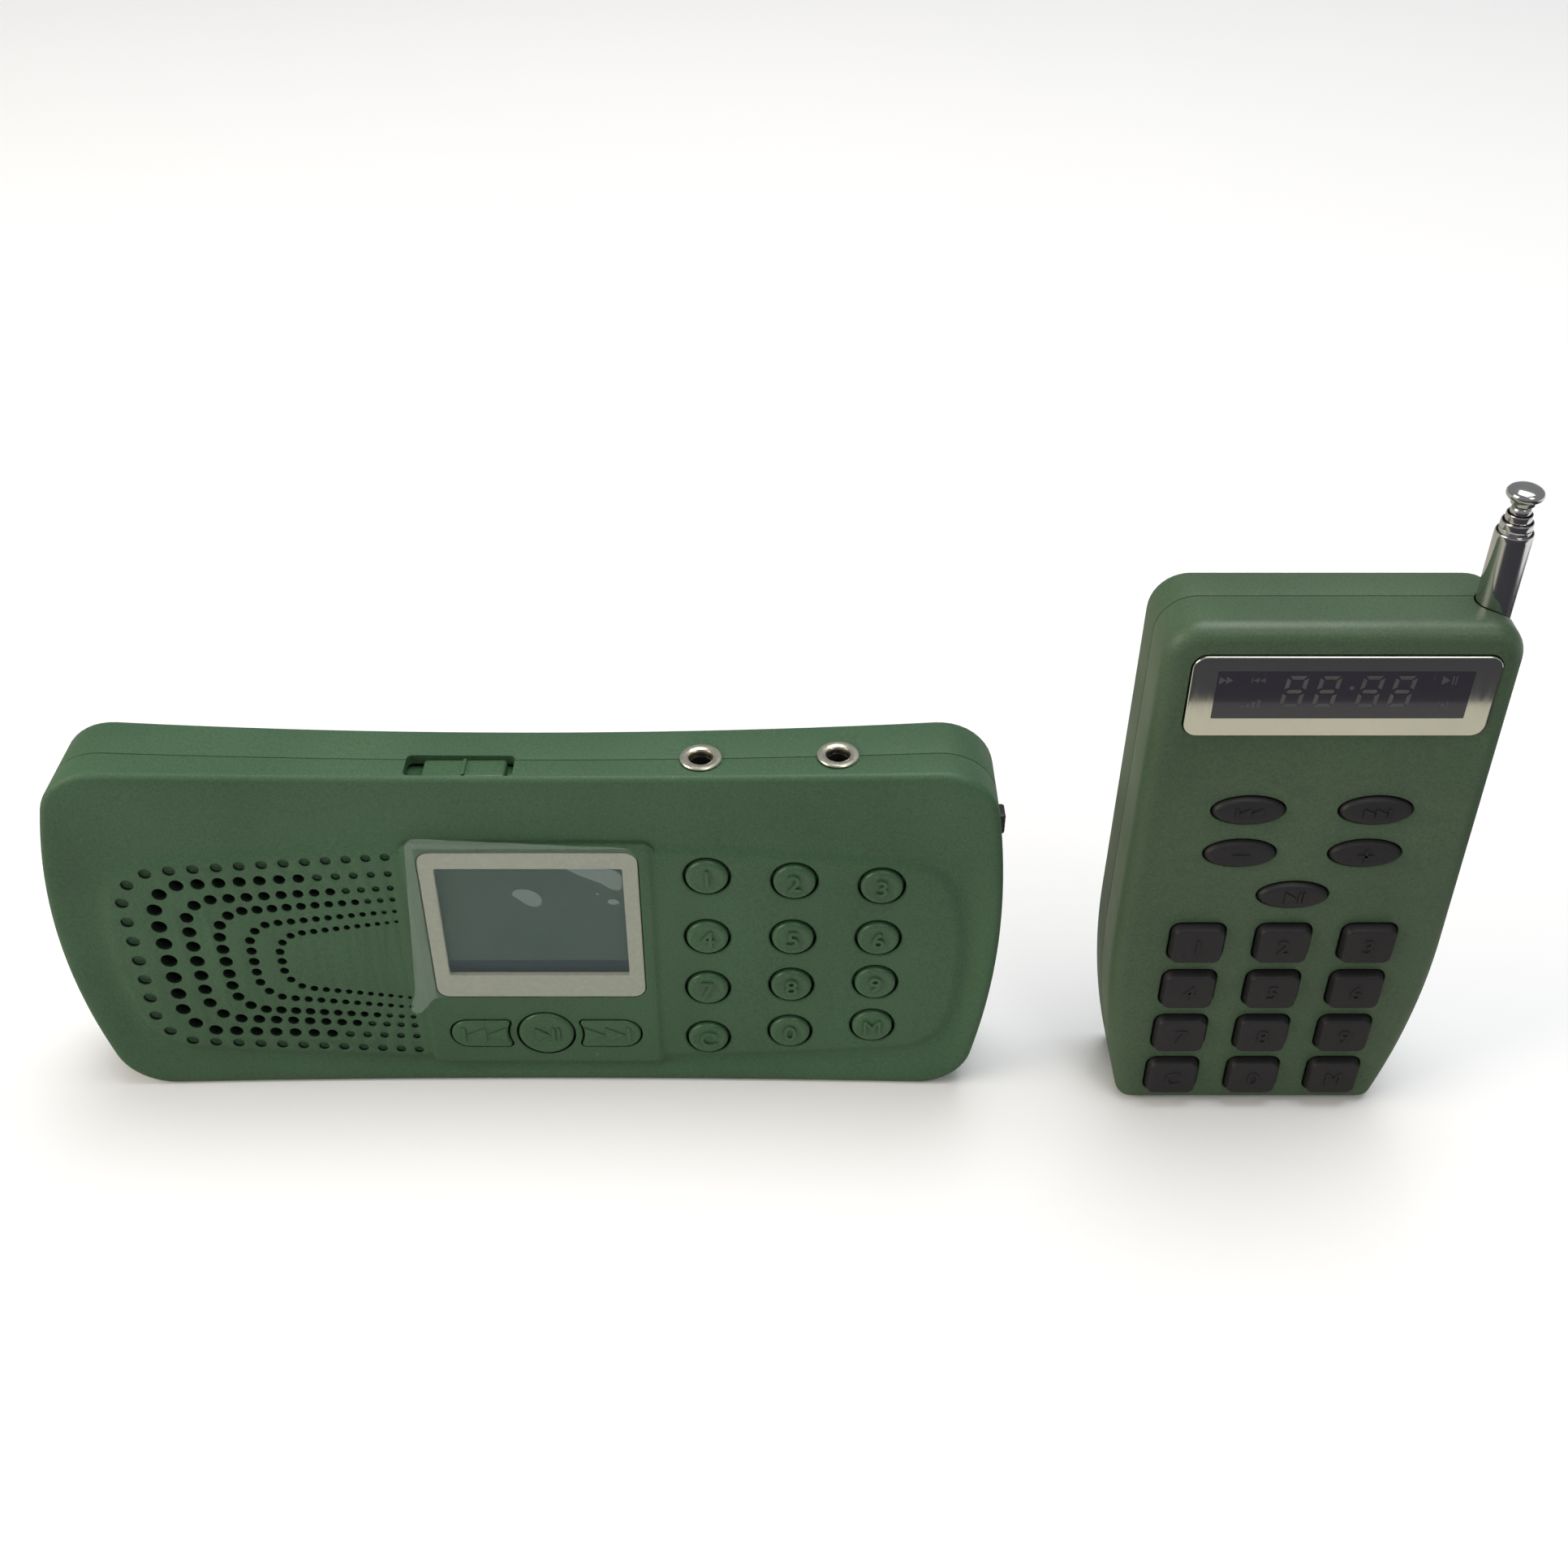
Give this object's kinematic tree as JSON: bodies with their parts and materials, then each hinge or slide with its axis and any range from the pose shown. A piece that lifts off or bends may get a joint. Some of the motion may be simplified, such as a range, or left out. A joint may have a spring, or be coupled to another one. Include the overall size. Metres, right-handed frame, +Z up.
{
  "type": "electronic game caller",
  "caption": "Electronic game caller: a loudspeaker unit with a screen, grille and keypad, and its upright hand-held remote with a telescopic aerial.",
  "frame": {"origin": "middle of the flat lower edge that the caller stands on, where the floor meets it", "axes": "+X right along the caller's front towards the remote, +Y from the front to the back, +Z up"},
  "size_m": [0.2288, 0.0214, 0.1178],
  "materials": {
    "green_plastic": "fine-grained moulded plastic",
    "black_rubber": "matt silicone rubber",
    "black_plastic": "satin",
    "circuit_board": "lacquered",
    "liquid_crystal": "gloss",
    "printed_lens": "clear window in a printed frame, under a thin film",
    "silvered_lens": "silvered frame round a dark window",
    "battery_wrap": "shrink wrap",
    "steel": "zinc plated",
    "paper_cone": "pressed paper",
    "nickel_plate": "nickel plated",
    "chrome_plate": "polished"
  },
  "bodies": {
    "caller": {"caller_front_shell": "green_plastic", "caller_rear_shell": "green_plastic", "caller_battery": "battery_wrap", "caller_main_board": "circuit_board", "caller_lcd": "liquid_crystal", "caller_screen_lens": "printed_lens", "speaker_frame": "steel", "speaker_cone": "paper_cone", "jack_left": "nickel_plate", "jack_right": "nickel_plate", "caller_screw_left": "steel", "caller_screw_right": "steel"},
    "handset": {"remote_front_shell": "green_plastic", "remote_rear_shell": "green_plastic", "remote_battery": "battery_wrap", "remote_board": "circuit_board", "remote_lcd": "liquid_crystal", "remote_screen_lens": "silvered_lens", "remote_screw": "steel", "aerial_tube": "chrome_plate"},
    "caller_key_1_cap": {"caller_key_1": "green_plastic"},
    "caller_key_2_cap": {"caller_key_2": "green_plastic"},
    "caller_key_3_cap": {"caller_key_3": "green_plastic"},
    "caller_key_4_cap": {"caller_key_4": "green_plastic"},
    "caller_key_5_cap": {"caller_key_5": "green_plastic"},
    "caller_key_6_cap": {"caller_key_6": "green_plastic"},
    "caller_key_7_cap": {"caller_key_7": "green_plastic"},
    "caller_key_8_cap": {"caller_key_8": "green_plastic"},
    "caller_key_9_cap": {"caller_key_9": "green_plastic"},
    "caller_key_clear_cap": {"caller_key_clear": "green_plastic"},
    "caller_key_0_cap": {"caller_key_0": "green_plastic"},
    "caller_key_mode_cap": {"caller_key_mode": "green_plastic"},
    "caller_key_previous_cap": {"caller_key_previous": "green_plastic"},
    "caller_key_play_cap": {"caller_key_play": "green_plastic"},
    "caller_key_next_cap": {"caller_key_next": "green_plastic"},
    "remote_key_1_cap": {"remote_key_1": "black_rubber"},
    "remote_key_2_cap": {"remote_key_2": "black_rubber"},
    "remote_key_3_cap": {"remote_key_3": "black_rubber"},
    "remote_key_4_cap": {"remote_key_4": "black_rubber"},
    "remote_key_5_cap": {"remote_key_5": "black_rubber"},
    "remote_key_6_cap": {"remote_key_6": "black_rubber"},
    "remote_key_7_cap": {"remote_key_7": "black_rubber"},
    "remote_key_8_cap": {"remote_key_8": "black_rubber"},
    "remote_key_9_cap": {"remote_key_9": "black_rubber"},
    "remote_key_clear_cap": {"remote_key_clear": "black_rubber"},
    "remote_key_0_cap": {"remote_key_0": "black_rubber"},
    "remote_key_mode_cap": {"remote_key_mode": "black_rubber"},
    "remote_key_previous_cap": {"remote_key_previous": "black_rubber"},
    "remote_key_next_cap": {"remote_key_next": "black_rubber"},
    "remote_key_volume_down_cap": {"remote_key_volume_down": "black_rubber"},
    "remote_key_volume_up_cap": {"remote_key_volume_up": "black_rubber"},
    "remote_key_play_cap": {"remote_key_play": "black_rubber"},
    "lock": {"lock_slider": "green_plastic"},
    "switch": {"power_switch": "black_plastic"},
    "caller_door": {"caller_battery_door": "green_plastic"},
    "handset_door": {"remote_battery_door": "green_plastic"},
    "section_2": {"aerial_section_2": "chrome_plate"},
    "section_3": {"aerial_section_3": "chrome_plate"},
    "section_4": {"aerial_section_4": "chrome_plate"},
    "tip": {"aerial_tip": "chrome_plate"}
  },
  "joints": [
    {"name": "handset_lift", "type": "slide", "parent": "caller", "child": "handset", "axis": [0, 0, 1], "range_m": [0, 0.12]},
    {"name": "caller_key_1_press", "type": "slide", "parent": "caller", "child": "caller_key_1_cap", "axis": [0, 1, 0], "range_m": [0, 0.0008], "stiffness_N_per_m": 200},
    {"name": "caller_key_2_press", "type": "slide", "parent": "caller", "child": "caller_key_2_cap", "axis": [0, 1, 0], "range_m": [0, 0.0008], "stiffness_N_per_m": 200},
    {"name": "caller_key_3_press", "type": "slide", "parent": "caller", "child": "caller_key_3_cap", "axis": [0, 1, 0], "range_m": [0, 0.0008], "stiffness_N_per_m": 200},
    {"name": "caller_key_4_press", "type": "slide", "parent": "caller", "child": "caller_key_4_cap", "axis": [0, 1, 0], "range_m": [0, 0.0008], "stiffness_N_per_m": 200},
    {"name": "caller_key_5_press", "type": "slide", "parent": "caller", "child": "caller_key_5_cap", "axis": [0, 1, 0], "range_m": [0, 0.0008], "stiffness_N_per_m": 200},
    {"name": "caller_key_6_press", "type": "slide", "parent": "caller", "child": "caller_key_6_cap", "axis": [0, 1, 0], "range_m": [0, 0.0008], "stiffness_N_per_m": 200},
    {"name": "caller_key_7_press", "type": "slide", "parent": "caller", "child": "caller_key_7_cap", "axis": [0, 1, 0], "range_m": [0, 0.0008], "stiffness_N_per_m": 200},
    {"name": "caller_key_8_press", "type": "slide", "parent": "caller", "child": "caller_key_8_cap", "axis": [0, 1, 0], "range_m": [0, 0.0008], "stiffness_N_per_m": 200},
    {"name": "caller_key_9_press", "type": "slide", "parent": "caller", "child": "caller_key_9_cap", "axis": [0, 1, 0], "range_m": [0, 0.0008], "stiffness_N_per_m": 200},
    {"name": "caller_key_clear_press", "type": "slide", "parent": "caller", "child": "caller_key_clear_cap", "axis": [0, 1, 0], "range_m": [0, 0.0008], "stiffness_N_per_m": 200},
    {"name": "caller_key_0_press", "type": "slide", "parent": "caller", "child": "caller_key_0_cap", "axis": [0, 1, 0], "range_m": [0, 0.0008], "stiffness_N_per_m": 200},
    {"name": "caller_key_mode_press", "type": "slide", "parent": "caller", "child": "caller_key_mode_cap", "axis": [0, 1, 0], "range_m": [0, 0.0008], "stiffness_N_per_m": 200},
    {"name": "caller_key_previous_press", "type": "slide", "parent": "caller", "child": "caller_key_previous_cap", "axis": [0, 1, 0], "range_m": [0, 0.0008], "stiffness_N_per_m": 200},
    {"name": "caller_key_play_press", "type": "slide", "parent": "caller", "child": "caller_key_play_cap", "axis": [0, 1, 0], "range_m": [0, 0.0008], "stiffness_N_per_m": 200},
    {"name": "caller_key_next_press", "type": "slide", "parent": "caller", "child": "caller_key_next_cap", "axis": [0, 1, 0], "range_m": [0, 0.0008], "stiffness_N_per_m": 200},
    {"name": "remote_key_1_press", "type": "slide", "parent": "handset", "child": "remote_key_1_cap", "axis": [0, 1, 0], "range_m": [0, 0.0008], "stiffness_N_per_m": 200},
    {"name": "remote_key_2_press", "type": "slide", "parent": "handset", "child": "remote_key_2_cap", "axis": [0, 1, 0], "range_m": [0, 0.0008], "stiffness_N_per_m": 200},
    {"name": "remote_key_3_press", "type": "slide", "parent": "handset", "child": "remote_key_3_cap", "axis": [0, 1, 0], "range_m": [0, 0.0008], "stiffness_N_per_m": 200},
    {"name": "remote_key_4_press", "type": "slide", "parent": "handset", "child": "remote_key_4_cap", "axis": [0, 1, 0], "range_m": [0, 0.0008], "stiffness_N_per_m": 200},
    {"name": "remote_key_5_press", "type": "slide", "parent": "handset", "child": "remote_key_5_cap", "axis": [0, 1, 0], "range_m": [0, 0.0008], "stiffness_N_per_m": 200},
    {"name": "remote_key_6_press", "type": "slide", "parent": "handset", "child": "remote_key_6_cap", "axis": [0, 1, 0], "range_m": [0, 0.0008], "stiffness_N_per_m": 200},
    {"name": "remote_key_7_press", "type": "slide", "parent": "handset", "child": "remote_key_7_cap", "axis": [0, 1, 0], "range_m": [0, 0.0008], "stiffness_N_per_m": 200},
    {"name": "remote_key_8_press", "type": "slide", "parent": "handset", "child": "remote_key_8_cap", "axis": [0, 1, 0], "range_m": [0, 0.0008], "stiffness_N_per_m": 200},
    {"name": "remote_key_9_press", "type": "slide", "parent": "handset", "child": "remote_key_9_cap", "axis": [0, 1, 0], "range_m": [0, 0.0008], "stiffness_N_per_m": 200},
    {"name": "remote_key_clear_press", "type": "slide", "parent": "handset", "child": "remote_key_clear_cap", "axis": [0, 1, 0], "range_m": [0, 0.0008], "stiffness_N_per_m": 200},
    {"name": "remote_key_0_press", "type": "slide", "parent": "handset", "child": "remote_key_0_cap", "axis": [0, 1, 0], "range_m": [0, 0.0008], "stiffness_N_per_m": 200},
    {"name": "remote_key_mode_press", "type": "slide", "parent": "handset", "child": "remote_key_mode_cap", "axis": [0, 1, 0], "range_m": [0, 0.0008], "stiffness_N_per_m": 200},
    {"name": "remote_key_previous_press", "type": "slide", "parent": "handset", "child": "remote_key_previous_cap", "axis": [0, 1, 0], "range_m": [0, 0.0008], "stiffness_N_per_m": 200},
    {"name": "remote_key_next_press", "type": "slide", "parent": "handset", "child": "remote_key_next_cap", "axis": [0, 1, 0], "range_m": [0, 0.0008], "stiffness_N_per_m": 200},
    {"name": "remote_key_volume_down_press", "type": "slide", "parent": "handset", "child": "remote_key_volume_down_cap", "axis": [0, 1, 0], "range_m": [0, 0.0008], "stiffness_N_per_m": 200},
    {"name": "remote_key_volume_up_press", "type": "slide", "parent": "handset", "child": "remote_key_volume_up_cap", "axis": [0, 1, 0], "range_m": [0, 0.0008], "stiffness_N_per_m": 200},
    {"name": "remote_key_play_press", "type": "slide", "parent": "handset", "child": "remote_key_play_cap", "axis": [0, 1, 0], "range_m": [0, 0.0008], "stiffness_N_per_m": 200},
    {"name": "lock_slide", "type": "slide", "parent": "caller", "child": "lock", "axis": [1, 0, 0], "range_m": [-0.0024, 0]},
    {"name": "switch_slide", "type": "slide", "parent": "caller", "child": "switch", "axis": [0, 0, 1], "range_m": [-0.0025, 0]},
    {"name": "caller_door_lift", "type": "slide", "parent": "caller", "child": "caller_door", "axis": [0, 1, 0], "range_m": [0, 0.025]},
    {"name": "handset_door_lift", "type": "slide", "parent": "handset", "child": "handset_door", "axis": [0, 1, 0], "range_m": [0, 0.025]},
    {"name": "aerial_slide_1", "type": "slide", "parent": "handset", "child": "section_2", "axis": [0, 0, 1], "range_m": [0, 0.07]},
    {"name": "aerial_slide_2", "type": "slide", "parent": "section_2", "child": "section_3", "axis": [0, 0, 1], "range_m": [0, 0.07]},
    {"name": "aerial_slide_3", "type": "slide", "parent": "section_3", "child": "section_4", "axis": [0, 0, 1], "range_m": [0, 0.07]},
    {"name": "aerial_slide_4", "type": "slide", "parent": "section_4", "child": "tip", "axis": [0, 0, 1], "range_m": [0, 0.07]}
  ]
}
